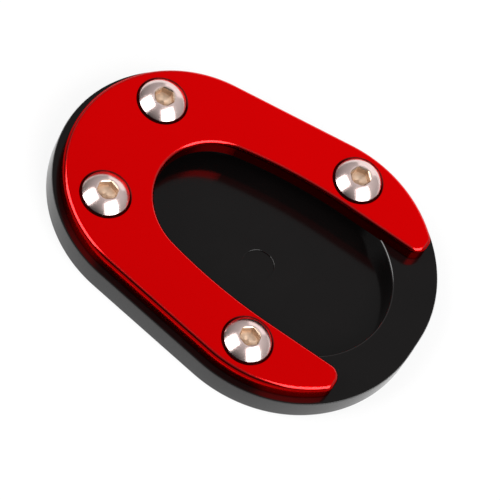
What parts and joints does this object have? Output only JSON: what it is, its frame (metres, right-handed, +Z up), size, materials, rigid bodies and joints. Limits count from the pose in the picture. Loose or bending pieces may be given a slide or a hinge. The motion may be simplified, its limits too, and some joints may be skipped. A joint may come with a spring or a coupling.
{
  "type": "kickstand foot enlarger",
  "caption": "Egg-shaped plate that widens a side stand's foot, with a pocket for the foot and a forked clamp plate screwed over its edge.",
  "frame": {"origin": "middle of the plate's length and width, on the ground face", "axes": "+X along the plate from its narrow tail to its wide nose, where the slot is open; +Z up, away from the ground; +Y to the left of +X"},
  "size_m": [0.09, 0.0674, 0.0122],
  "materials": {
    "black_anodised": "milled and anodised black, satin",
    "red_anodised": "bead blasted and anodised red, satin",
    "stainless": "turned and polished stainless steel"
  },
  "bodies": {
    "root": {"base_plate": "black_anodised", "clamp_plate": "red_anodised", "clamp_screws": "stainless"}
  },
  "joints": []
}
